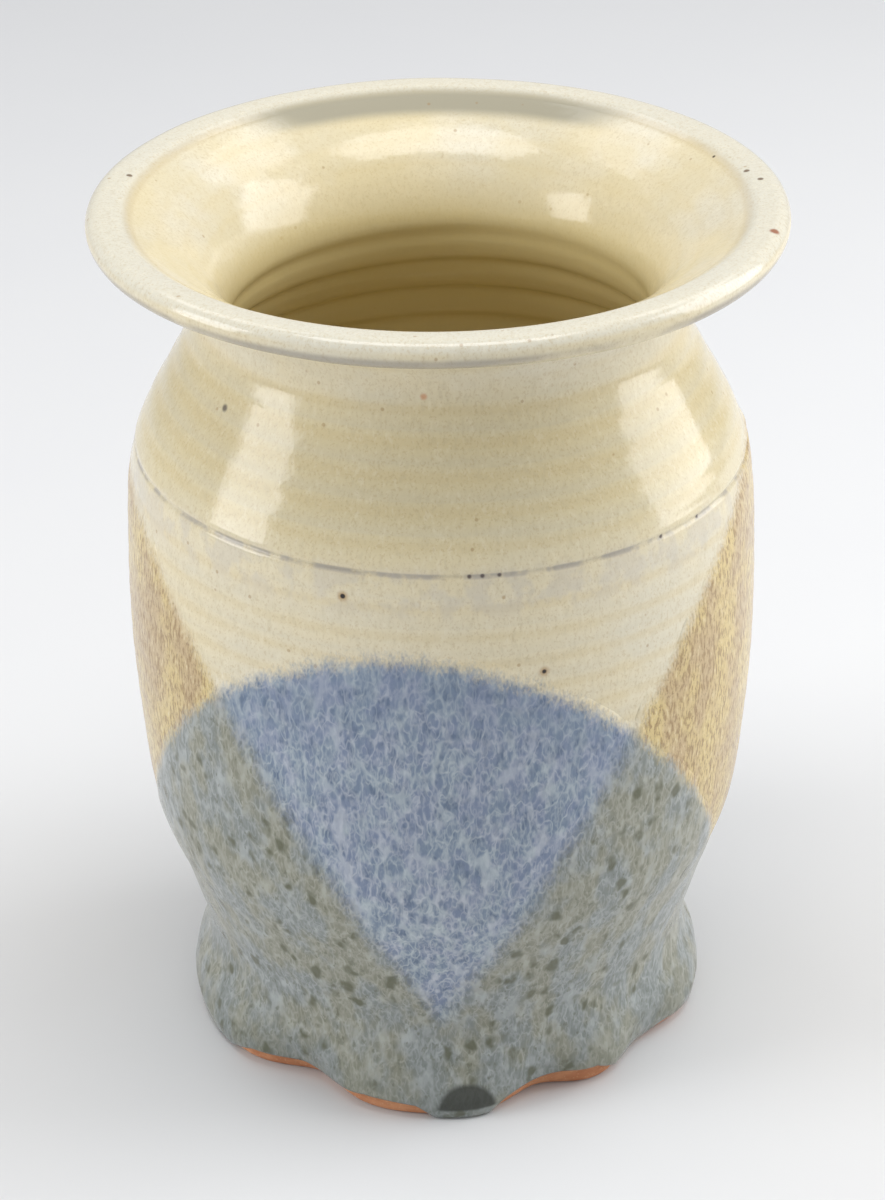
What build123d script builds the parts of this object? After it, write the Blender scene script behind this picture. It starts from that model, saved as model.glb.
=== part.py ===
from build123d import *
import os
from math import cos, hypot, radians, sin

# Stoneware vase, thrown on the wheel: one clay body and the coats of glaze on it.
# Millimetres. Origin: centre of the foot on the table. +Z up, -Y is the front.
# Outlines are lists of (height, radius), from the bottom up.

# Lip.
lip_radius = 75.9  # clay only: the base coat brings it to 76.5
lip_bead_radius = 2.6
lip_bead_height = 199.9  # centre of the rolled bead
lip_bead_start = -60.0  # degrees from straight out, where the bead leaves the lip's underside
lip_flat_width = 5.2  # from the bead's crest in to the funnel's edge
lip_flat_fall = 0.5

# Outside of the clay, below and above the line cut at the bottom of the shoulder.
lower_outline = [
    (0, 59.2),
    (5, 59.6),
    (11, 58.6),
    (17, 56.2),
    (23, 55.6),
    (28, 56.4),
    (34, 58.3),
    (44, 61.4),
    (60, 66.9),
    (80, 69.4),
    (100, 70.5),
    (120, 70.2),
    (136, 69.4),
    (146, 68.1),
]
upper_outline = [
    (147.4, 67.8),
    (155, 64.9),
    (164, 59.9),
    (173, 55.3),
    (182, 53.3),
    (189, 55.6),
    (194, 61.2),
    (196.6, 68.0),
]
groove_height = 146.7
groove_radius = 67.1  # at the bottom of the line

# Inside of the clay, from the top of the corner above the floor to the funnel's edge.
floor_thickness = 6.5
funnel_edge_height = 202.0
cavity_outline = [
    (24.5, 50.0),
    (44, 56.2),
    (60, 61.4),
    (80, 63.8),
    (100, 64.9),
    (120, 64.6),
    (136, 63.6),
    (147, 61.6),
    (157, 56.9),
    (167, 50.6),
    (177, 47.0),
    (185, 48.8),
    (192, 54.2),
    (198, 61.6),
    (funnel_edge_height, 68.5),
]

# Foot. The rim was pressed in by finger: each dent is a leaning round flute.
foot_recess_radius = 41.0
foot_recess_depth = 2.0
dented_radius = 51.6  # of the clay at the deepest point, on the table
dent_lean = 12.0  # degrees, outwards as it rises
dent_top = 32.0  # below the waist
# Direction in degrees from the front towards +X, and the finger's radius.
dents = [(-35, 15.0), (23, 11.5), (52, 11.5), (112, 12.5), (150, 12.5), (192, 13.5), (240, 12.5)]

# Glaze.
base_coat = 0.6  # liner and cream
ochre_coat = 0.4  # over the cream
blue_coat = 0.4  # over the cream and the ochre
bare_band = 2.5  # wiped off above the table
dip_limit = 160.0  # no dip reaches this high
# Each dip covers what lies below a tilted plane: the plane's upward normal and its offset.
left_dip = ((0.868, 0.042, 0.495), 9.6)
right_dip = ((-0.867, 0.006, 0.498), 14.4)
front_dip = ((0.101, 0.807, 0.582), 16.5)
back_dip = ((-0.101, -0.807, 0.582), 16.5)

# Worked out from the above.
lip_crest_radius = lip_radius - lip_bead_radius
floor_top = foot_recess_depth + floor_thickness
above_lip = 220.0
wide = 200.0


def moved_out(outline, distance):
    """The outline moved along its own normal, away from the axis."""
    shifted = []
    for i, (z, r) in enumerate(outline):
        z_before, r_before = outline[max(i - 1, 0)]
        z_after, r_after = outline[min(i + 1, len(outline) - 1)]
        run = hypot(z_after - z_before, r_after - r_before)
        normal_z = -(r_after - r_before) / run
        normal_r = (z_after - z_before) / run
        shifted.append((z + normal_z * distance, r + normal_r * distance))
    # The lower end moves straight out, so that it still meets what lies below it.
    shifted[0] = (outline[0][0], outline[0][1] + distance)
    return shifted


def curve_through(outline):
    """A smooth curve through an outline, in the XZ plane."""
    return Spline(*[(r, 0, z) for z, r in outline])


def dent_tool(direction, finger_radius, coat):
    """The finger that pressed one dent, smaller by the coat that lines it."""
    radius = finger_radius - coat
    length = 2 * dent_top
    axis_radius = dented_radius + finger_radius
    finger = Cylinder(radius, length)
    leaning = Pos(axis_radius, 0, 0) * Rot(0, dent_lean, 0) * finger
    below_waist = Pos(axis_radius, 0, 0) * Box(wide, wide, length)
    return Rot(0, 0, direction - 90) * (leaning & below_waist)


def vase_solid(coat):
    """The whole outside, filled, grown outwards by a coat."""
    bead = lip_bead_radius + coat
    bead_start = radians(lip_bead_start)
    start_radius = lip_crest_radius + bead * cos(bead_start)
    start_height = lip_bead_height + bead * sin(bead_start)
    crest_height = lip_bead_height + bead
    flat_height = crest_height - lip_flat_fall
    lower = moved_out(lower_outline, coat)
    upper = moved_out(upper_outline, coat) + [(start_height, start_radius)]
    groove = Polyline(
        (lower[-1][1], 0, lower[-1][0]),
        (groove_radius + coat, 0, groove_height),
        (upper[0][1], 0, upper[0][0]),
    )
    lip_bead = ThreePointArc(
        (start_radius, 0, start_height),
        (lip_crest_radius + bead, 0, lip_bead_height),
        (lip_crest_radius, 0, crest_height),
    )
    rest = Polyline(
        (lip_crest_radius, 0, crest_height),
        (lip_crest_radius - lip_flat_width, 0, flat_height),
        (0, 0, flat_height),
        (0, 0, 0),
        (lower[0][1], 0, 0),
    )
    section = make_face(curve_through(lower) + groove + curve_through(upper) + lip_bead + rest)
    vase = revolve(section, Axis.Z)
    for direction, finger_radius in dents:
        vase -= dent_tool(direction, finger_radius, coat)
    return vase


def cavity_solid(coat):
    """The hollow, filled, made smaller by a coat and running out above the lip."""
    outline = moved_out(cavity_outline, -coat)
    bottom = floor_top + coat
    corner_height, wall_radius = outline[0]
    corner = corner_height - bottom
    corner_start = wall_radius - corner
    halfway = radians(45)
    floor_corner = ThreePointArc(
        (corner_start, 0, bottom),
        (corner_start + corner * sin(halfway), 0, bottom + corner * (1 - cos(halfway))),
        (wall_radius, 0, corner_height),
    )
    edge_height, edge_radius = outline[-1]
    rest = Polyline(
        (edge_radius, 0, edge_height),
        (edge_radius, 0, above_lip),
        (0, 0, above_lip),
        (0, 0, bottom),
        (corner_start, 0, bottom),
    )
    return revolve(make_face(floor_corner + curve_through(outline) + rest), Axis.Z)


def dip_plane(dip):
    normal, offset = dip
    return Plane(origin=tuple(offset * n for n in normal), z_dir=normal)


def inside(layer, dip):
    return split(layer, dip_plane(dip), keep=Keep.BOTTOM)


def outside(layer, dip):
    return split(layer, dip_plane(dip), keep=Keep.TOP)


def between(coat_over, coat_under):
    """A layer from one coated outside to the next, above the wiped foot and below the dips' limit."""
    reach = Pos(0, 0, (bare_band + dip_limit) / 2) * Box(wide, wide, dip_limit - bare_band)
    return (coat_over & reach) - coat_under


bare = vase_solid(0)
creamed = vase_solid(base_coat)
ochred = vase_solid(base_coat + ochre_coat)
blued = vase_solid(base_coat + ochre_coat + blue_coat)
hollow = cavity_solid(0)
glazed_hollow = cavity_solid(base_coat)

# Floor, wall, lip and ruffled foot, thrown in one.
clay_body = bare - hollow - Cylinder(foot_recess_radius, 2 * foot_recess_depth)

# The coat poured inside: floor, wall and funnel, up to the lip.
liner_glaze = (hollow - glazed_hollow) & bare

# The base coat outside, from the wiped foot up over the lip to the funnel's edge.
wiped = Pos(0, 0, bare_band / 2) * Box(wide, wide, bare_band)
cream_glaze = creamed - bare - glazed_hollow - wiped

# The two ochre dips over the cream. Where they cross, near the foot, the left one was first.
ochre_layer = between(ochred, creamed)
ochre_glaze_left = inside(ochre_layer, left_dip)
ochre_glaze_right = outside(inside(ochre_layer, right_dip), left_dip)

# The two blue dips. Beside the ochre they fill its layer too, so that they lie level.
beside_ochre = outside(outside(ochre_layer, left_dip), right_dip)
over_all = between(blued, ochred)
blue_glaze_front = inside(beside_ochre, front_dip) + inside(over_all, front_dip)
blue_glaze_back = inside(outside(beside_ochre, front_dip), back_dip) + inside(
    outside(over_all, front_dip), back_dip
)

pieces = {
    "clay_body": clay_body,
    "liner_glaze": liner_glaze,
    "cream_glaze": cream_glaze,
    "ochre_glaze_left": ochre_glaze_left,
    "ochre_glaze_right": ochre_glaze_right,
    "blue_glaze_front": blue_glaze_front,
    "blue_glaze_back": blue_glaze_back,
}

os.makedirs("parts", exist_ok=True)
for name, piece in pieces.items():
    export_step(piece, f"parts/{name}.step")
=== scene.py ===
from math import cos, pi, radians, sin, tan
import bpy
import numpy as np
from mathutils import Matrix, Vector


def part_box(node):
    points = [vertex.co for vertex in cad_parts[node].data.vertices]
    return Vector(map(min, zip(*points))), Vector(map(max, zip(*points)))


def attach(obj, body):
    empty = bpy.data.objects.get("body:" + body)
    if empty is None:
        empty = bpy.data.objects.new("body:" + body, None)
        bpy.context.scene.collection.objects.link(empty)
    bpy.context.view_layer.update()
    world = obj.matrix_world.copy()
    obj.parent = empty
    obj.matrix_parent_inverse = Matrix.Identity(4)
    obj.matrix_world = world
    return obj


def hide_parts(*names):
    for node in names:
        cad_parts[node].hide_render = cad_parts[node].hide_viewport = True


# The looks of a glazed stoneware vase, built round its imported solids.
# One master surface, the glazed pot, is worked out in millimetres from an outline and the marks of the
# potter's fingers. The clay and each coat of glaze are offsets of it. -Y is the front, turns go to +X.

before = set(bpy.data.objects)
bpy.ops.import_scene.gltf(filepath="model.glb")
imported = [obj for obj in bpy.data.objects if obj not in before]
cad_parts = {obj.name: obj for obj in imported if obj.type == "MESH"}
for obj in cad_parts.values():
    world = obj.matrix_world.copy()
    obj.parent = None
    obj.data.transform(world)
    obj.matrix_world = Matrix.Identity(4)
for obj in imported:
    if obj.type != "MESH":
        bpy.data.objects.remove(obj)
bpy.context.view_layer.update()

# ---------------------------------------------------------------- sizes, millimetres
cream_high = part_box("cream_glaze")[1]
clay_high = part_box("clay_body")[1]
lip_radius = cream_high[0] * 1000
height = cream_high[2] * 1000
coat = height - clay_high[2] * 1000  # the cream's thickness
dip_coat = 0.45
under_coat = 0.1  # how far a coat reaches below the surface it lies on, so that no gap shows
bead_radius = 3.2
lip_flat = 5.2
bead_height = height - bead_radius
crest_radius = lip_radius - bead_radius

# Height and radius of the glazed outside, from above the foot's rounded edge to the lip's bead.
edge_round = 2.0
foot_radius = 59.8
outside = [
    (5, 60.2), (11, 59.3), (17, 57.0), (23, 56.2), (28, 57.0), (34, 58.9), (44, 62.0), (60, 67.6),
    (80, 70.0), (100, 71.1), (120, 70.9), (136, 70.1), (147, 68.5), (155, 65.4), (164, 60.4),
    (173, 55.9), (182, 53.9), (189, 56.1), (194, 61.4), (196.8, 68.4),
]
# The glazed inside, from the funnel's edge down to the corner above the floor.
inside = [
    (height - 1.6, 67.0), (198.1, 61.3), (192.4, 53.8), (185, 48.3), (177, 46.4), (167, 50.0),
    (157, 56.3), (147, 61.0), (136, 63.0), (120, 64.0), (100, 64.3), (80, 63.2), (60, 60.8),
    (44, 55.6), (30, 50.9), (20, 46.5),
]
floor_height = 9.1
floor_corner = [(13, 42.0), (10, 36.0), (floor_height, 29.0)]
recess_radius = 41.0
recess_depth = 2.0
contact_radius = 44.0

# Finger dents round the foot: turn in degrees, depth, half width in degrees.
dents = [
    (-35, 7.6, 12), (23, 6.8, 10.5), (53, 5.6, 12), (112, 7.5, 10), (150, 7.5, 10), (192, 7.8, 11),
    (240, 7.5, 10),
]
dent_reach = 24.0
# Height of the bare clay left above the table: turn in degrees and height.
bare_band = [
    (-180, 1.5), (-168, 3.5), (-150, 0.6), (-120, 3.6), (-100, 0.3), (-58, 0.3), (-50, 4.0),
    (-37, 4.3), (-31, 2.6), (-25, 2.8), (-19, 4.2), (-7, 3.3), (-3, 0.2), (9, 0.2), (13, 3.0),
    (20, 4.3), (28, 5.2), (36, 4.6), (42, 1.5), (56, 1.2), (62, 2.0), (71, 1.8), (76, 0.3),
    (100, 0.4), (112, 3.6), (130, 0.8), (150, 3.4), (165, 0.8), (180, 1.5),
]
groove_height = 146.7
groove_tilt = 0.7  # degrees, lower to the right
groove_depth = 0.55
groove_half_width = 0.55

# Throwing rings: height of the ridges and distance from one to the next.
shoulder_rings = (0.055, 6.4)
barrel_rings = (0.045, 6.4)
funnel_rings = (0.02, 4.2)
inside_rings = (0.5, 9.6)

# Each dip is what lies below a tilted plane: its upward normal and offset.
dips = {
    "left": ((0.868, 0.042, 0.495), 9.6),
    "right": ((-0.867, 0.006, 0.498), 14.4),
    "front": ((0.101, 0.807, 0.582), 16.5),
    "back": ((-0.101, -0.807, 0.582), 16.5),
}
dip_top = 160.0
pool_turn = 4.0  # where the glaze ran down and gathered on the foot
pool_height = 2.8
pool_reach = 7.6

# Where the blemishes are: turn in degrees, radius and height.
pinholes = [(-17.4, 69.7, 141.3), (17.5, 71.1, 123.2)]
groove_pits = [
    (4.7, 68.5, 146.6), (7.0, 68.5, 146.6), (10.0, 68.4, 146.5), (42.6, 68.5, 146.1), (52.9, 68.5, 146.0),
]
grey_specks = [(-53.1, 57.4, 169.7)]
rim_specks = [(97.0, 71.3, 202.9), (101.6, 69.6, 202.8), (-102.7, 69.8, 202.8)]
rim_chip = [(73.9, 74.1, 202.9)]
orange_flecks = [
    (-3.6, 54.2, 181.1), (-35.7, 60.0, 37.2), (-2.6, 56.6, 19.5), (7.0, 58.6, 12.3), (56.7, 56.0, 11.7),
]
# How far each reaches, the share of that where it is full, its strength and its colour.
blemishes = [
    (pinholes, 1.7, 0.3, 0.6, (170, 128, 74)),
    (pinholes, 0.75, 0.5, 1.0, (34, 26, 24)),
    (groove_pits, 0.7, 0.3, 0.9, (84, 72, 70)),
    (grey_specks, 1.2, 0.3, 0.85, (92, 84, 78)),
    (rim_specks, 0.9, 0.5, 0.9, (110, 88, 66)),
    (rim_chip, 1.5, 0.4, 0.9, (150, 84, 48)),
    (orange_flecks, 1.1, 0.3, 0.8, (206, 150, 110)),
]


# ---------------------------------------------------------------- the outline
def curve_through(points, per_span=24):
    """Catmull-Rom curve through (height, radius) points, as rows of radius and height."""
    p = np.array([(r, z) for z, r in points])
    p = np.vstack([2 * p[0] - p[1], p, 2 * p[-1] - p[-2]])
    rows = []
    for a, b, c, d in zip(p, p[1:], p[2:], p[3:]):
        t = np.linspace(0, 1, per_span, endpoint=False)[:, None]
        bend = (2 * a - 5 * b + 4 * c - d) * t**2 + (3 * b - a - 3 * c + d) * t**3
        rows.append(b + 0.5 * ((c - a) * t + bend))
    return np.vstack(rows + [p[-2:-1]])


def arc(radius, height_, size, start, end, steps=24):
    """Part of a circle in the outline's plane, angles in degrees from straight out."""
    a = np.radians(np.linspace(start, end, steps))
    return np.column_stack([radius + size * np.cos(a), height_ + size * np.sin(a)])


def make_outline():
    """The whole section, from the underside's centre out, up, over the lip and down to the floor."""
    underside = np.array([
        (0, recess_depth), (recess_radius * 0.5, recess_depth), (recess_radius, recess_depth),
        (recess_radius + 1, 0.5), (contact_radius, 0),
    ])
    foot_edge = arc(foot_radius - edge_round, edge_round, edge_round, -90, 0, 12)
    bead = arc(crest_radius, bead_height, bead_radius, -58, 90)
    flat = np.array([(crest_radius - 2, height - 0.08), (crest_radius - 4, height - 0.28)])
    floor = curve_through(inside + floor_corner)
    centre = np.array([(14, floor_height), (0, floor_height)])
    return np.vstack([underside, foot_edge, curve_through(outside), bead, flat, floor, centre])


outline = make_outline()
outline_run = np.concatenate([[0], np.cumsum(np.hypot(*np.diff(outline, axis=0).T))])
run_total = outline_run[-1]
run_crest = outline_run[np.argmax(outline[:, 1])]
crest_index = int(np.argmax(outline[:, 1]))
foot_index = int(np.argmax(outline[:, 0] > foot_radius - edge_round + 0.1))


def run_at_height(z):
    """How far along the outline the outside reaches a height."""
    rising = outline[foot_index:crest_index, 1]
    return np.interp(z, rising, outline_run[foot_index:crest_index])


# ---------------------------------------------------------------- the potter's marks
columns_round = 400
row_pitch = 1.15  # between rows of a mesh, where nothing finer is asked for
turns = np.radians(np.arange(-180, 180, 360 / columns_round))


def ripple(turn, z, size, seed, stretch=1.0, waves=28):
    """Smooth noise round the pot, about -1 to 1, with features of a size in millimetres."""
    rng = np.random.default_rng(seed)
    total = 0.0
    for _ in range(waves):
        across = np.round(rng.normal(0, 1) * 2 * pi * 65 / size / 2.5)
        along = rng.normal(0, 1) * 2 * pi / (size * stretch) / 2.5
        total = total + np.sin(across * turn + along * z + rng.uniform(0, 2 * pi))
    return total * (1.4 / waves) ** 0.5 * 0.9


def bump_at(value, centre, width):
    return np.exp(-(((value - centre) / width) ** 2))


def ramp(value, low, high):
    t = np.clip((value - low) / (high - low), 0, 1)
    return t * t * (3 - 2 * t)


def dent_depth(turn, z):
    """How far the fingers pressed the foot in."""
    fade = np.clip(1 - z / dent_reach, 0, 1) ** 1.3
    total = 0.0
    for direction, depth, half_width in dents:
        apart = (np.degrees(turn) - direction + 180) % 360 - 180
        total = total + depth * bump_at(apart, 0, half_width)
    return total * fade


def groove_line(turn):
    return groove_height - tan(radians(groove_tilt)) * 68 * np.sin(turn)


def rings(turn, z, ridge_and_pitch, seed):
    """Throwing rings: a slow spiral whose pitch wanders."""
    ridge, pitch = ridge_and_pitch
    wander = 0.07 * ripple(turn, z, 90, seed)
    phase = 2 * pi * (z / pitch + turn / (2 * pi) + wander)
    return ridge * (np.sin(phase) + 0.3 * np.sin(2 * phase + 1))


def relief(turn, z, outside_share, inside_share):
    """Height of the throwing rings above the plain outline. Each kind keeps to its own heights."""
    shoulder = ramp(z, 147.5, 153) * ramp(z, 188, 176) * rings(turn, z, shoulder_rings, 3)
    barrel = ramp(z, 60, 100) * ramp(z, 146, 141) * rings(turn, z, barrel_rings, 4)
    funnel = ramp(z, 182, 190) * rings(turn, z, funnel_rings, 5)
    deep = ramp(z, 12, 24) * ramp(z, 180, 172) * rings(turn, z, inside_rings, 6)
    return outside_share * (shoulder + barrel) + inside_share * (funnel + deep)


def groove_cut(turn, z, outside_share):
    away = z - groove_line(turn)
    depth = groove_depth * (0.8 + 0.3 * ripple(turn, 0 * z, 14, 7))
    cut = -depth * bump_at(away, 0, groove_half_width) + 0.14 * bump_at(away, 1.2, 1.1)
    return outside_share * cut


def surface(run, turn, lift):
    """Points of the master surface at outline runs and turns, lifted along the outline's normal.
    Returns the points in metres and the relief there."""
    r = np.interp(run, outline_run, outline[:, 0])
    z = np.interp(run, outline_run, outline[:, 1])
    step = 0.4
    ahead = np.minimum(run + step, run_total)
    behind = np.maximum(run - step, 0)
    along_r = np.interp(ahead, outline_run, outline[:, 0]) - np.interp(behind, outline_run, outline[:, 0])
    along_z = np.interp(ahead, outline_run, outline[:, 1]) - np.interp(behind, outline_run, outline[:, 1])
    length = np.hypot(along_r, along_z)
    normal_r, normal_z = along_z / length, -along_r / length
    outside_share = (run < run_crest).astype(float) * (run > outline_run[foot_index])
    inside_share = (run > run_crest).astype(float)
    marks = relief(turn, z, outside_share, inside_share)
    wobble = 0.22 * ripple(turn, z, 110, 8) * ramp(z, 4, 20)
    wobble = wobble + 0.05 * ripple(turn, z, 16, 9) * ramp(z, 3, 12)
    rise = marks + groove_cut(turn, z, outside_share) + wobble * ramp(height - z, 0, 8) + lift
    rim = ramp(r, contact_radius, foot_radius)
    rim = np.where(run > outline_run[foot_index], 1.0, rim) * (1 - inside_share)
    r = r + normal_r * rise - dent_depth(turn, z) * rim
    z = np.maximum(z + normal_z * rise, 0)
    r = np.maximum(r, 0)
    points = np.stack([r * np.sin(turn), -r * np.cos(turn), z], axis=-1) * 0.001
    return points, marks


# ---------------------------------------------------------------- meshes
def rows_between(start, end, fine=()):
    """Runs along the outline a little over a millimetre apart, closer within reach of some runs."""
    rows = [start]
    while rows[-1] < end:
        pitch = row_pitch
        for centre, reach, close in fine:
            if abs(rows[-1] - centre) < reach:
                pitch = min(pitch, close)
        rows.append(rows[-1] + pitch)
    rows[-1] = end
    return np.array(rows)


def make_piece(name, nodes, faces, points, smooth_values, material, merge=False):
    mesh = bpy.data.meshes.new(name)
    mesh.from_pydata(points.tolist(), [], faces.tolist())
    mesh.polygons.foreach_set("use_smooth", np.ones(len(mesh.polygons), bool))
    values = mesh.attributes.new("relief", "FLOAT", "POINT")
    values.data.foreach_set("value", smooth_values.astype(np.float32))
    piece = bpy.data.objects.new(name, mesh)
    bpy.context.scene.collection.objects.link(piece)
    if merge:
        weld = piece.modifiers.new("weld", "WELD")
        weld.merge_threshold = 0.000002
    mesh.materials.append(material)
    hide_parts(*nodes)
    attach(piece, "root")
    return piece


def shell(top, bottom, cells):
    """Faces and points of a closed layer between two grids, over the marked cells. Columns wrap."""
    rows, columns = top.shape[:2]
    i, j = np.nonzero(cells)
    right = (j + 1) % columns
    a, b = i * columns + j, i * columns + right
    c, d = (i + 1) * columns + right, (i + 1) * columns + j
    under = rows * columns
    quads = [np.stack([a, b, c, d], 1), np.stack([d, c, b, a], 1) + under]
    left_open = ~cells[i, (j - 1) % columns]
    right_open = ~cells[i, right]
    lower_open = np.where(i > 0, ~cells[np.maximum(i - 1, 0), j], True)
    upper_open = np.where(i < rows - 2, ~cells[np.minimum(i + 1, rows - 2), j], True)
    for open_, p, q in ((lower_open, a, b), (right_open, b, c), (upper_open, c, d), (left_open, d, a)):
        quads.append(np.stack([q, p, p + under, q + under], 1)[open_])
    faces = np.vstack(quads)
    used = np.unique(faces)
    lookup = np.zeros(2 * under, int)
    lookup[used] = np.arange(len(used))
    points = np.vstack([top.reshape(-1, 3), bottom.reshape(-1, 3)])[used]
    return lookup[faces], points, used


def glaze_grid(rows):
    """Runs and turns of a coat's grid, its lower rows slid up to the wavy edge above the bare clay."""
    turn, run = np.meshgrid(turns, rows)
    degrees = np.degrees(turns)
    band = np.interp(degrees, [t for t, _ in bare_band], [h for _, h in bare_band])
    band = np.maximum(band + 0.25 * ripple(turns, 0, 9, 21) + 0.2, 0.25)
    start = run_at_height(band)
    blend_run = run_at_height(30.0)
    share = np.clip((blend_run - run) / (blend_run - rows[0]), 0, 1)
    return run + (start - rows[0])[None, :] * share, turn, start[None, :]


def dip_distance(name, x, y, z):
    """How far inside a dip a point is, in millimetres."""
    (nx, ny, nz), offset = dips[name]
    return offset - (nx * x + ny * y + nz * z)


def dip_thickness(name, points, turn):
    x, y, z = np.moveaxis(points * 1000, -1, 0)
    inside_by = dip_distance(name, x, y, z) + 0.9 * ripple(turn, z, 7, 31, stretch=3)
    return dip_coat * ramp(inside_by, -1.6, 2.2), inside_by


def rounded_edge(run, start):
    """Share of a coat's thickness left near its lower edge, which melts to a round."""
    near = np.clip((run - start) / 0.9, 0, 1)
    return np.sqrt(1 - (1 - near) ** 2)


def pool(run, turn):
    """Glaze that ran down: a low roll all round the foot, and more of it on the front lobe."""
    z = np.interp(run, outline_run, outline[:, 1])
    low = bump_at(z, 3.5, 4.5)
    front = bump_at(np.degrees(turn), pool_turn, 7)
    roll = 0.22 * bump_at(z, 4.5, 3.0) * (1 + 0.5 * ripple(turn, 0 * z, 18, 23))
    return 0.7 * low * front + roll


# ---------------------------------------------------------------- materials
cream_roughness = 0.1
ochre_roughness = 0.2
blue_roughness = 0.16


def tone(red, green, blue):
    """A colour given as it shows on a screen, 0 to 255, made linear."""
    linear = []
    for value in (red, green, blue):
        c = value / 255
        c = c / 12.92 if c <= 0.04045 else ((c + 0.055) / 1.055) ** 2.4
        linear.append(c)
    return (*linear, 1.0)


class Look:
    """One material, built up socket by socket. Sizes are in millimetres."""

    def __init__(self, name):
        self.material = bpy.data.materials.new(name)
        self.material.use_nodes = True
        self.tree = self.material.node_tree
        self.tree.nodes.clear()
        where = self.node("ShaderNodeTexCoord").outputs["Object"]
        self.position = self.vector("SCALE", where, scale=1000.0)

    def node(self, kind, **settings):
        made = self.tree.nodes.new(kind)
        for key, value in settings.items():
            setattr(made, key, value)
        return made

    def put(self, socket, value):
        if isinstance(value, bpy.types.NodeSocket):
            self.tree.links.new(value, socket)
        else:
            socket.default_value = value

    def math(self, operation, a, b=0.0, clamp=False):
        made = self.node("ShaderNodeMath", operation=operation, use_clamp=clamp)
        self.put(made.inputs[0], a)
        self.put(made.inputs[1], b)
        return made.outputs[0]

    def vector(self, operation, a, b=None, scale=None):
        made = self.node("ShaderNodeVectorMath", operation=operation)
        self.put(made.inputs[0], a)
        if b is not None:
            self.put(made.inputs[1], b)
        if scale is not None:
            made.inputs["Scale"].default_value = scale
        return made.outputs["Value" if operation in ("DOT_PRODUCT", "LENGTH") else "Vector"]

    def noise(self, across, along, detail=3.0, seed=0.0, rough=0.55):
        """Noise of features across and along millimetres in size, 0 to 1."""
        spot = self.vector("MULTIPLY", self.position, (1 / across, 1 / across, 1 / along))
        spot = self.vector("ADD", spot, (seed, seed * 1.7, seed * 2.3))
        made = self.node("ShaderNodeTexNoise")
        made.inputs["Scale"].default_value = 1.0
        made.inputs["Detail"].default_value = detail
        made.inputs["Roughness"].default_value = rough
        self.put(made.inputs["Vector"], spot)
        return made.outputs["Fac"]

    def cells(self, across, along, feature="F1", warp=0.0, seed=0.0):
        """Distance to the nearest cell's centre, or to its edge, in cell sizes."""
        spot = self.vector("MULTIPLY", self.position, (1 / across, 1 / across, 1 / along))
        spot = self.vector("ADD", spot, (seed, seed * 1.3, seed * 0.7))
        if warp:
            wave = self.node("ShaderNodeTexNoise")
            wave.inputs["Scale"].default_value = 1.1
            wave.inputs["Detail"].default_value = 2.0
            self.put(wave.inputs["Vector"], spot)
            bend = self.vector("SCALE", wave.outputs["Color"], scale=warp)
            spot = self.vector("ADD", spot, bend)
        made = self.node("ShaderNodeTexVoronoi", feature=feature)
        made.inputs["Scale"].default_value = 1.0
        self.put(made.inputs["Vector"], spot)
        return made.outputs["Distance"]

    def step(self, value, low, high):
        made = self.node("ShaderNodeMapRange", interpolation_type="SMOOTHSTEP")
        self.put(made.inputs["Value"], value)
        made.inputs["From Min"].default_value = low
        made.inputs["From Max"].default_value = high
        return made.outputs["Result"]

    def mix(self, share, a, b):
        made = self.node("ShaderNodeMix", data_type="RGBA")
        self.put(made.inputs["Factor"], share)
        self.put(made.inputs["A"], a)
        self.put(made.inputs["B"], b)
        return made.outputs["Result"]

    def blend(self, share, a, b):
        """The same for numbers."""
        made = self.node("ShaderNodeMix", data_type="FLOAT")
        self.put(made.inputs["Factor"], share)
        self.put(made.inputs["A"], a)
        self.put(made.inputs["B"], b)
        return made.outputs["Result"]

    def axis(self, name):
        made = self.node("ShaderNodeSeparateXYZ")
        self.put(made.inputs[0], self.position)
        return made.outputs[name]

    def radius(self):
        return self.vector("LENGTH", self.vector("MULTIPLY", self.position, (1, 1, 0)))

    def tint(self, colour, share, strength, other):
        """Some of another colour where the share is high."""
        return self.mix(self.math("MULTIPLY", share, strength), colour, other)

    def both(self, *shares):
        total = shares[0]
        for share in shares[1:]:
            total = self.math("MULTIPLY", total, share)
        return total

    def near(self, value, centre, reach):
        """1 where a value is close to its centre, 0 from its reach on."""
        away = self.math("ABSOLUTE", self.math("SUBTRACT", value, centre))
        return self.step(away, reach, reach * 0.3)

    def finish(self, colour, roughness, bump, bump_size):
        shader = self.node("ShaderNodeBsdfPrincipled")
        out = self.node("ShaderNodeOutputMaterial")
        raised = self.node("ShaderNodeBump")
        raised.inputs["Strength"].default_value = 1.0
        raised.inputs["Distance"].default_value = bump_size
        self.put(raised.inputs["Height"], bump)
        self.put(shader.inputs["Base Color"], colour)
        self.put(shader.inputs["Roughness"], roughness)
        self.put(shader.inputs["Normal"], raised.outputs["Normal"])
        self.put(out.inputs["Surface"], shader.outputs["BSDF"])
        return self.material


def dip_share(look, name, streaks):
    """Where a dip covers, 0 to 1, with an edge that runs in fine vertical streaks."""
    normal, offset = dips[name]
    along = look.vector("DOT_PRODUCT", look.position, normal)
    inside_by = look.math("ADD", look.math("SUBTRACT", offset, along), streaks)
    return look.step(inside_by, -1.8, 2.0), inside_by


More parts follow.
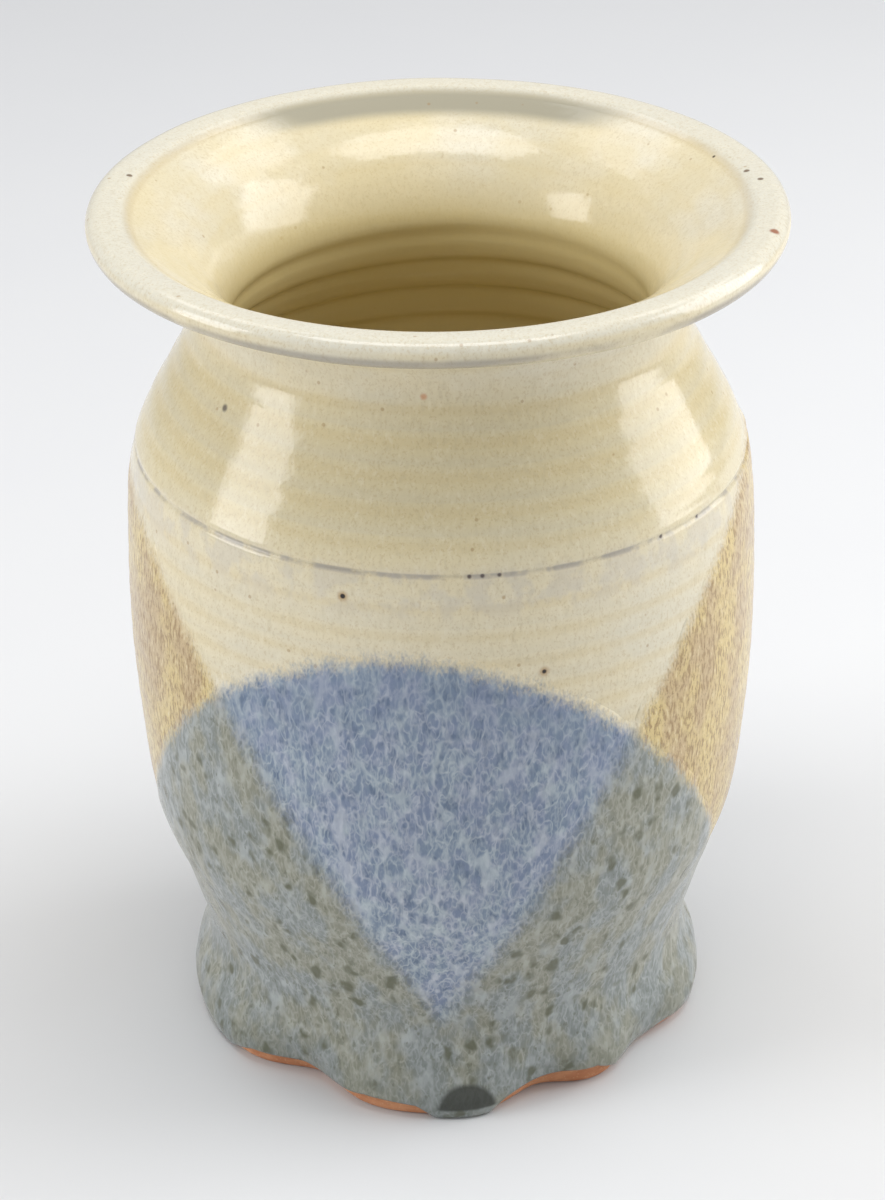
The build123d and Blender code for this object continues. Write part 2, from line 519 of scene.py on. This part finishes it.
def cream_colour(look):
    """Warm cream, yellower at the shoulder and where it gathers, greyer where it thins on the lip's top;
    painted shade in the crease inside the lip and under the lip's bead, and a painted dark reflection at
    the back of the funnel.
    """
    marks = look.node("ShaderNodeAttribute", attribute_name="relief").outputs["Fac"]
    z = look.axis("Z")
    back = look.axis("Y")
    radius = look.radius()
    cloud = look.noise(30, 20, detail=3, seed=1)
    mottle = look.noise(1.1, 2.6, detail=3, seed=2)
    grain = look.noise(0.5, 0.7, detail=2, seed=3)
    colour = look.mix(look.step(cloud, 0.35, 0.65), tone(226, 214, 182), tone(221, 213, 190))
    shoulder = look.both(look.step(z, 140, 158), look.step(z, 186, 172))
    colour = look.tint(colour, shoulder, 0.7, tone(217, 203, 160))
    colour = look.tint(colour, look.step(marks, 0.01, -0.055), 0.3, tone(212, 192, 142))
    colour = look.tint(colour, look.step(marks, 0.01, 0.06), 0.32, tone(206, 200, 182))
    rim = look.both(look.step(z, 200.5, 201.8), look.step(radius, 66.2, 68.0))
    colour = look.tint(colour, rim, 0.8, tone(217, 213, 198))
    colour = look.tint(colour, look.step(mottle, 0.5, 0.72), 0.28, tone(196, 182, 148))
    colour = look.tint(colour, look.step(mottle, 0.46, 0.3), 0.3, tone(234, 226, 202))
    colour = look.tint(colour, look.step(grain, 0.52, 0.68), 0.34, tone(192, 170, 126))

    funnel = look.both(look.step(z, 184, 190), look.step(radius, 69, 67))
    warm = look.both(funnel, look.step(look.noise(26, 14, detail=3, seed=5), 0.46, 0.62))
    colour = look.tint(colour, warm, 0.36, tone(216, 199, 150))
    # Painted shade: a darker line in the crease where the lip's flat turns down into the funnel.
    crease_shade = look.both(look.near(radius, 67.2, 1.5), look.step(z, 198, 200))
    colour = look.tint(colour, crease_shade, 0.25, tone(186, 164, 122))
    # Painted reflection: a grey band of dark reflection on the back of the funnel, just inside the rim.
    grey = look.both(look.near(radius, 65.2, 4.6), look.step(z, 194, 197), look.step(back, 47, 57))
    colour = look.tint(colour, grey, 1.0, tone(166, 160, 140))
    # Painted shade: a grey band along the underside of the lip's bead, broken up by the cloud noise.
    lip_underside_shade = look.both(look.near(z, 198.3, 1.9), look.step(radius, 71.5, 73.5))
    colour = look.tint(colour, look.both(lip_underside_shade, look.step(cloud, 0.3, 0.5)), 0.62, tone(146, 139, 131))

    slope = tan(radians(groove_tilt))
    from_groove = look.math("ADD", z, look.math("MULTIPLY", look.axis("X"), slope))
    outside_only = look.step(radius, 64.5, 66)
    patchy = look.step(look.noise(6, 6, detail=3, seed=6), 0.4, 0.58)
    line = look.both(look.near(from_groove, groove_height - 0.1, 0.8), outside_only)
    colour = look.tint(colour, look.both(line, look.blend(patchy, 0.15, 1.0)), 0.66, tone(148, 141, 136))
    below = look.both(look.near(from_groove, groove_height - 4, 7.5), outside_only, patchy)
    colour = look.tint(colour, below, 0.35, tone(196, 190, 182))

    freckle = look.cells(6.5, 6.5, seed=4)
    colour = look.tint(colour, look.step(freckle, 0.085, 0.045), 0.45, tone(160, 122, 74))
    return look.tint(colour, look.step(look.cells(24, 24, seed=9), 0.022, 0.012), 0.9, tone(66, 52, 44))


def ochre_colour(look):
    """Golden ochre with fine brown streaks, browner in patches."""
    patch = look.noise(10, 16, detail=3, seed=12)
    fleck = look.noise(0.7, 2.4, detail=4, seed=13)
    fine = look.noise(0.5, 0.9, detail=2, seed=14)
    colour = look.mix(look.step(patch, 0.38, 0.62), tone(212, 190, 134), tone(194, 170, 130))
    colour = look.tint(colour, look.step(fleck, 0.48, 0.62), 0.75, tone(150, 122, 82))
    colour = look.tint(colour, look.step(fine, 0.56, 0.7), 0.5, tone(126, 98, 64))
    return look.tint(colour, look.step(fleck, 0.44, 0.28), 0.6, tone(228, 214, 172))


def ridges(look, across, along, seed, sharp):
    """Thin winding lines where smooth noise crosses its middle value, 1 on a line."""
    noise = look.noise(across, along, detail=2, seed=seed, rough=0.45)
    away = look.math("ABSOLUTE", look.math("SUBTRACT", noise, 0.5))
    return look.step(away, sharp, 0.0)


def lace(look):
    """The vein net of the blue glaze, 1 on a vein: loops drawn out downwards, finer ones between."""
    large = look.step(look.cells(2.7, 5.2, warp=1.0, seed=25), 0.52, 0.84)
    small = look.step(look.cells(1.4, 3.0, warp=1.0, seed=26), 0.5, 0.84)
    winding = look.math("MULTIPLY", ridges(look, 1.5, 4.0, 22, 0.08), 0.7)
    loops = look.math("MAXIMUM", ridges(look, 3.0, 6.0, 21, 0.06), winding)
    wisps = look.step(look.noise(0.8, 2.8, detail=3, seed=23), 0.42, 0.75)
    fine = look.math("ADD", look.math("MULTIPLY", small, 0.3), look.math("MULTIPLY", wisps, 0.24))
    net = look.math("MAXIMUM", look.math("MULTIPLY", large, 0.66), look.math("MULTIPLY", loops, 0.56))
    return look.math("ADD", net, fine, clamp=True)


def blue_colour(look, veins, inside_by):
    """Slate blue pools between pale veins, plainer just inside its edge and paler further down."""
    hue = look.noise(5, 8, detail=2, seed=24)
    ground = look.mix(look.step(hue, 0.38, 0.62), tone(112, 129, 151), tone(115, 129, 155))
    pools = look.step(look.noise(2.4, 4.2, detail=2, seed=27), 0.5, 0.66)
    ground = look.tint(ground, pools, 0.7, tone(88, 106, 131))
    light = look.mix(look.step(hue, 0.38, 0.62), tone(190, 199, 202), tone(191, 196, 204))
    down = look.blend(look.step(inside_by, 16, 60), 0.78, 1.0)
    return look.mix(look.both(veins, look.blend(look.step(inside_by, 14, 2), down, 0.5)), ground, light)


def green_colour(look, veins):
    """Where the blue lies over ochre: mottled grey-green with pale veins and dark olive spots."""
    hue = look.noise(10, 16, detail=3, seed=31)
    ground = look.mix(look.step(hue, 0.4, 0.6), tone(124, 130, 127), tone(130, 130, 114))
    light = look.mix(look.step(hue, 0.4, 0.6), tone(182, 187, 187), tone(180, 181, 170))
    colour = look.mix(look.math("MULTIPLY", veins, 0.72), ground, light)
    spot = look.step(look.cells(5.0, 6.5, warp=0.9, seed=32), 0.4, 0.16)
    some = look.step(look.noise(8, 8, detail=2, seed=35), 0.4, 0.55)
    colour = look.tint(colour, look.both(spot, some), 0.85, tone(86, 88, 64))
    speck = look.step(look.noise(1.3, 2.4, detail=2, seed=36), 0.6, 0.7)
    return look.tint(colour, speck, 0.5, tone(92, 94, 74))


def spot_share(look, places, reach, sharp):
    """1 near any of some points, 0 from the reach on. Points are turn in degrees, radius and height."""
    total = None
    for turn, radius, z in places:
        a = radians(turn)
        centre = (radius * sin(a), -radius * cos(a), z)
        apart = look.vector("LENGTH", look.vector("SUBTRACT", look.position, centre))
        near = look.step(apart, reach, reach * sharp)
        total = near if total is None else look.math("MAXIMUM", total, near)
    return total


def glaze_material(name, deep=False):
    """The whole glaze field, so that a coat shows the same colours as the next where it thins out."""
    look = Look(name)
    z = look.axis("Z")
    broad = look.math("MULTIPLY", look.math("SUBTRACT", look.noise(3.0, 8, detail=3, seed=41), 0.5), 3.0)
    fine = look.math("MULTIPLY", look.math("SUBTRACT", look.noise(0.6, 1.1, detail=3, seed=42), 0.5), 4.0)
    streaks = look.math("ADD", broad, fine)
    left, left_by = dip_share(look, "left", streaks)
    right, right_by = dip_share(look, "right", streaks)
    front, front_by = dip_share(look, "front", streaks)
    back, back_by = dip_share(look, "back", streaks)
    ochre = look.math("MAXIMUM", left, right)
    blue = look.math("MAXIMUM", front, back)
    blue_by = look.math("MAXIMUM", front_by, back_by)
    veins = lace(look)
    colour = look.mix(ochre, cream_colour(look), ochre_colour(look))
    crossing = look.step(look.math("MAXIMUM", left_by, right_by), -3.0, 3.6)
    over = look.mix(crossing, blue_colour(look, veins, blue_by), green_colour(look, veins))
    colour = look.mix(blue, colour, over)
    colour = look.tint(colour, look.both(look.step(z, 20, 2), blue), 0.3, tone(92, 98, 88))
    puddle = spot_share(look, [(pool_turn, foot_radius, pool_height)], pool_reach, 0.8)
    puddle = look.both(puddle, look.step(z, 2.4, 3.4))
    colour = look.tint(colour, puddle, 0.9, tone(44, 47, 38))
    for places, reach, sharp, strength, shade in blemishes:
        colour = look.tint(colour, spot_share(look, places, reach, sharp), strength, tone(*shade))
    if deep:
        # Painted shade inside the pot: the liner turns a warmer, slightly darker yellow from below the lip
        # down past the throat.
        colour = look.tint(colour, look.step(z, 196, 172), 0.9, tone(224, 206, 150))
    soft = look.noise(3.0, 3.4, detail=2, seed=51)
    grain = look.noise(0.7, 1.0, detail=2, seed=52)
    bump = look.math("ADD", soft, look.math("MULTIPLY", grain, 0.12))
    bump = look.math("ADD", bump, look.math("MULTIPLY", look.math("MULTIPLY", veins, blue), 0.25))
    rough = look.blend(blue, look.blend(ochre, cream_roughness, ochre_roughness), blue_roughness)
    rough = look.math("ADD", rough, look.math("MULTIPLY", grain, 0.06))
    return look.finish(colour, rough, bump, 0.00006)


def clay_material():
    """Bare fired stoneware: terracotta, darker in soft patches, with pale specks of grog."""
    look = Look("bare_stoneware")
    cloud = look.noise(7, 5, detail=4, seed=61)
    grog = look.cells(0.9, 0.9, seed=62)
    colour = look.mix(look.step(cloud, 0.35, 0.65), tone(208, 148, 108), tone(186, 122, 84))
    colour = look.mix(look.math("MULTIPLY", look.step(grog, 0.32, 0.15), 0.4), colour, tone(214, 172, 138))
    fine = look.noise(0.5, 0.5, detail=3, seed=63)
    bump = look.math("ADD", look.math("MULTIPLY", grog, 0.6), fine)
    return look.finish(colour, look.blend(cloud, 0.75, 0.9), bump, 0.00008)


# ---------------------------------------------------------------- pieces
def make_clay(material):
    """The clay under all the coats, one closed surface of revolution with the foot pressed in."""
    rows = rows_between(0, run_total, [(outline_run[foot_index], 6, 0.6), (run_crest, 9, 0.7)])
    turn, run = np.meshgrid(turns, rows)
    z = np.interp(run, outline_run, outline[:, 1])
    bare = (run < run_crest) * (1 - ramp(z, 0.4, 3.5))
    under = run < outline_run[foot_index]
    points, marks = surface(run, turn, np.where(under, 0.0, -coat * (1 - bare)))
    columns = len(turns)
    i, j = np.meshgrid(np.arange(len(rows) - 1), np.arange(columns), indexing="ij")
    i, j = i.ravel(), j.ravel()
    right = (j + 1) % columns
    low, high = i * columns, (i + 1) * columns
    quads = np.stack([low + j, low + right, high + right, high + j], 1)
    flat = points.reshape(-1, 3)
    return make_piece(
        "stoneware_body", ["clay_body"], quads, flat, marks.ravel(), material, merge=True
    )


def make_cream(material):
    """The base coat, from its wavy lower edge up over the lip and a little way into the funnel."""
    start = run_at_height(0.3)
    tuck = 4.0
    end = run_crest + lip_flat + tuck
    fine = [(start, 5, 0.5), (run_at_height(groove_height), 2.8, 0.3), (run_crest - 3, 8, 0.6)]
    rows = rows_between(start, end, fine)
    run, turn, edge = glaze_grid(rows)
    sink = -0.25 * ramp(run, end - 2.2, end)
    thickness = coat * rounded_edge(run, edge)
    rim = bump_at(run, run_crest, 6) * 0.04 * ripple(turn, run, 20, 24)
    top, marks = surface(run, turn, thickness - coat + sink + rim)
    bottom, _ = surface(run, turn, np.full_like(run, -coat - under_coat))
    cells = np.ones((len(rows) - 1, len(turns)), bool)
    faces, points, used = shell(top, bottom, cells)
    values = np.concatenate([marks.ravel(), marks.ravel()])[used]
    make_piece("cream_coat", ["cream_glaze"], faces, points, values, material)


def make_liner(material):
    """The coat inside, from under the cream at the lip down to the middle of the floor."""
    rows = rows_between(run_crest + lip_flat - 0.5, run_total)
    turn, run = np.meshgrid(turns, rows)
    sink = -0.3 * ramp(run, rows[0] + 2.5, rows[0])
    top, marks = surface(run, turn, sink)
    bottom, _ = surface(run, turn, np.full_like(run, -coat - under_coat))
    cells = np.ones((len(rows) - 1, len(turns)), bool)
    faces, points, used = shell(top, bottom, cells)
    values = np.concatenate([marks.ravel(), marks.ravel()])[used]
    make_piece("liner_coat", ["liner_glaze"], faces, points, values, material, merge=True)


def make_dips(ochre_material, blue_material):
    """The four dips. Each thins out and dives under the coat below at its edge."""
    start = run_at_height(0.3)
    fine = [(start, 5, 0.5), (run_at_height(groove_height), 2.8, 0.3)]
    rows = rows_between(start, run_at_height(dip_top), fine)
    run, turn, edge = glaze_grid(rows)
    bare, marks = surface(run, turn, np.zeros_like(run))
    round_off = rounded_edge(run, edge)
    thick, inside_by = {}, {}
    for name in dips:
        thick[name], inside_by[name] = dip_thickness(name, bare, turn)
    ochre = np.maximum(thick["left"], thick["right"])
    margin = 2.6
    bottom, _ = surface(run, turn, np.full_like(run, -0.12) - coat * (1 - round_off))

    def add(name, node, dip, hidden_by, base, material):
        lift = base + thick[dip] + pool(run, turn) * ramp(thick[dip], 0, dip_coat)
        sunk = 0.1 * ramp(inside_by[dip], -0.8, -margin)
        lift = (lift + coat) * round_off - coat - sunk
        top, _ = surface(run, turn, lift)
        cover = inside_by[dip] > -margin
        if hidden_by:
            cover &= inside_by[hidden_by] < margin
            buried = ramp(inside_by[hidden_by], 0, margin) * (thick[dip] + 0.08)
            top, _ = surface(run, turn, lift - buried)
        cells = cover[:-1] & cover[1:]
        cells &= np.roll(cells, -1, axis=1)
        faces, points, used = shell(top, bottom, cells)
        values = np.concatenate([marks.ravel(), marks.ravel()])[used]
        make_piece(name, [node], faces, points, values, material)

    zero = np.zeros_like(run)
    add("ochre_coat_left", "ochre_glaze_left", "left", None, zero, ochre_material)
    add("ochre_coat_right", "ochre_glaze_right", "right", "left", zero, ochre_material)
    add("blue_coat_front", "blue_glaze_front", "front", None, ochre, blue_material)
    add("blue_coat_back", "blue_glaze_back", "back", "front", ochre, blue_material)


make_clay(clay_material())
make_cream(glaze_material("cream_glaze"))
make_liner(glaze_material("liner_glaze", deep=True))
make_dips(glaze_material("ochre_glaze"), glaze_material("blue_glaze"))


# ---------------------------------------------------------------- studio
def make_floor():
    """A pale seamless table top."""
    half = 4.0
    mesh = bpy.data.meshes.new("table_top")
    corners = [(-half, -half, 0), (half, -half, 0), (half, half, 0), (-half, half, 0)]
    mesh.from_pydata(corners, [], [(0, 1, 2, 3)])
    table = bpy.data.objects.new("table_top", mesh)
    bpy.context.scene.collection.objects.link(table)
    look = Look("paper")
    cloud = look.noise(90, 90, detail=3, seed=71)
    colour = look.mix(cloud, tone(223, 223, 223), tone(220, 220, 221))
    mesh.materials.append(look.finish(colour, 0.8, cloud, 0.00002))


def soft_box(name, turn, rise, distance, width, tall, radiance):
    """An area light aimed at the pot's shoulder. Turn is from the front to the right, in degrees."""
    aim = np.array([0, 0, height * 0.0008])
    a, e = radians(turn), radians(rise)
    direction = np.array([sin(a) * cos(e), -cos(a) * cos(e), sin(e)])
    data = bpy.data.lights.new(name, "AREA")
    data.shape = "RECTANGLE"
    data.size = width
    data.size_y = tall
    data.energy = radiance * pi * width * tall
    lamp = bpy.data.objects.new(name, data)
    bpy.context.scene.collection.objects.link(lamp)
    side = np.cross([0, 0, 1], direction)
    side /= np.linalg.norm(side)
    up = np.cross(direction, side)
    basis = Matrix([[*row] for row in np.column_stack([side, up, direction])])
    lamp.matrix_world = Matrix.Translation(aim + direction * distance) @ basis.to_4x4()


def make_lights():
    soft_box("left_window", -76, 18, 1.1, 0.46, 0.7, 4.8)
    soft_box("right_window", 99, 21, 1.1, 0.76, 1.0, 3.7)
    soft_box("ceiling", 0, 82.5, 1.3, 1.15, 0.52, 4.2)
    soft_box("far_right", 132, 50, 1.1, 0.4, 0.4, 1.9)
    soft_box("far_left", -136, 54, 1.1, 0.4, 0.4, 1.9)
    world = bpy.data.worlds.new("room")
    world.use_nodes = True
    world.node_tree.nodes["Background"].inputs["Color"].default_value = (0.95, 0.97, 1.0, 1.0)
    world.node_tree.nodes["Background"].inputs["Strength"].default_value = 0.49
    bpy.context.scene.world = world


def make_camera():
    """Looks down on the front from about three quarters of a metre away, with a long lens."""
    back = 8.957 * lip_radius * 0.001
    up = 6.326 * lip_radius * 0.001
    down = radians(29.06)
    roll = radians(0.668)
    data = bpy.data.cameras.new("camera")
    data.sensor_width = 36
    data.lens = 101.7
    camera = bpy.data.objects.new("camera", data)
    bpy.context.scene.collection.objects.link(camera)
    right = np.array([1, 0, 0])
    over = np.array([0, sin(down), cos(down)])
    behind = np.array([0, -cos(down), sin(down)])
    tilted_right = cos(roll) * right - sin(roll) * over
    tilted_up = sin(roll) * right + cos(roll) * over
    basis = Matrix([[*row] for row in np.column_stack([tilted_right, tilted_up, behind])])
    camera.matrix_world = Matrix.Translation((0, -back, up)) @ basis.to_4x4()
    bpy.context.scene.camera = camera


make_floor()
make_lights()
make_camera()
bpy.context.scene.view_settings.view_transform = "Standard"
